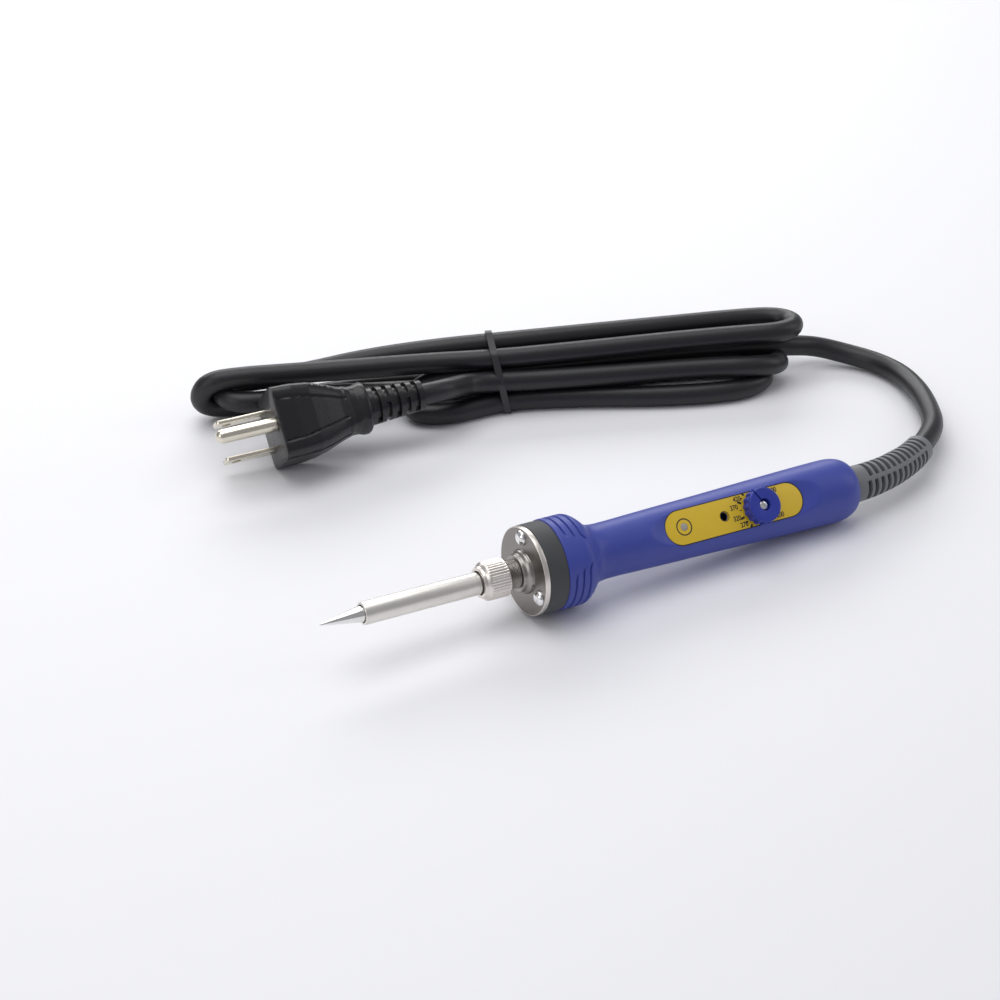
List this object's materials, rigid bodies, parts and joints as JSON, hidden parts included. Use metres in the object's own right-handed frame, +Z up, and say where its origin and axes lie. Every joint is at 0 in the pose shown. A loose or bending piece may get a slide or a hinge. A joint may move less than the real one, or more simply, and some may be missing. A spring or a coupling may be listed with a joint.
{
  "type": "temperature controlled soldering iron",
  "caption": "Pencil soldering iron with a temperature dial on its one-piece handle, a conical tip in a steel pipe, and a tied mains cord with a three-pin plug.",
  "frame": {"origin": "on the bench, under the middle of the iron's box, measured without the cord", "axes": "+X from the tip towards the cord, +Z up from the bench, -Y on the dial's side"},
  "size_m": [0.2612, 0.184, 0.0312],
  "materials": {
    "tip_plating": "polished plated cone",
    "stainless_pipe": "drawn and lightly brushed",
    "nickel_plate": "satin nickel, turned",
    "screw_steel": "bright plated",
    "grey_rubber": "matt dark grey",
    "ceramic": "fired white ceramic",
    "lead_wire": "bare nickel wire",
    "spring_steel": "spring strip",
    "blue_plastic": "fine moulded texture",
    "yellow_label": "printed satin",
    "knob_plastic": "moulded",
    "dark_plastic": "moulded",
    "board_green": "solder mask",
    "trimmer_blue": "moulded",
    "lamp_lens": "smoked clear",
    "capacitor_red": "dipped",
    "resistor_tan": "lacquered",
    "boot_rubber": "matt grey",
    "cord_rubber": "satin black sheath",
    "core_insulation": "insulated cores",
    "tie_plastic": "coated wire tie",
    "plug_vinyl": "moulded black vinyl",
    "pin_nickel": "nickel-plated brass"
  },
  "bodies": {
    "handle": {"threaded_nipple": "nickel_plate", "mounting_plate": "nickel_plate", "plate_screws": "screw_steel", "heat_ring": "grey_rubber", "heater_rod": "ceramic", "heater_holder": "ceramic", "heater_leads": "lead_wire", "earth_spring": "spring_steel", "handle_shell": "blue_plastic", "dial_label": "yellow_label", "potentiometer_body": "dark_plastic", "circuit_board": "board_green", "calibration_trimmer": "trimmer_blue", "indicator_led": "trimmer_blue", "indicator_lens": "lamp_lens", "power_triac": "dark_plastic", "control_chip": "dark_plastic", "film_capacitor": "capacitor_red", "resistors": "resistor_tan", "strain_relief": "boot_rubber", "cord_entry": "cord_rubber", "cord_clamp": "dark_plastic", "cord_cores": "core_insulation", "power_cord": "cord_rubber", "plug_lead": "cord_rubber", "cord_hank": "cord_rubber", "hank_tie": "tie_plastic", "plug_body": "plug_vinyl", "plug_bridge": "dark_plastic", "plug_blades": "pin_nickel", "ground_pin": "pin_nickel"},
    "tip_assembly": {"soldering_tip": "tip_plating", "tip_enclosure": "stainless_pipe"},
    "nut": {"enclosure_nut": "nickel_plate"},
    "knob": {"temperature_knob": "knob_plastic", "knob_screw": "screw_steel", "potentiometer_shaft": "screw_steel"},
    "calibration_screw": {"calibration_rotor": "screw_steel"}
  },
  "joints": [
    {"name": "enclosure_slide", "type": "slide", "parent": "handle", "child": "tip_assembly", "axis": [-0.9992, 0, 0.04], "range_m": [0, 0.045]},
    {"name": "nut_turn", "type": "hinge", "parent": "tip_assembly", "child": "nut", "pos_m": [-0.05849, 0, 0.01535], "axis": [-0.9992, 0, 0.04], "continuous": true},
    {"name": "knob_turn", "type": "hinge", "parent": "handle", "child": "knob", "pos_m": [0.03384, -0.00612, 0.01683], "axis": [0.0093, -0.7637, 0.6455], "range_deg": [-59, 201]},
    {"name": "calibration_turn", "type": "hinge", "parent": "handle", "child": "calibration_screw", "pos_m": [0.0211, -0.00192, 0.01379], "axis": [0.0093, -0.7637, 0.6455], "range_deg": [-120, 120]}
  ]
}
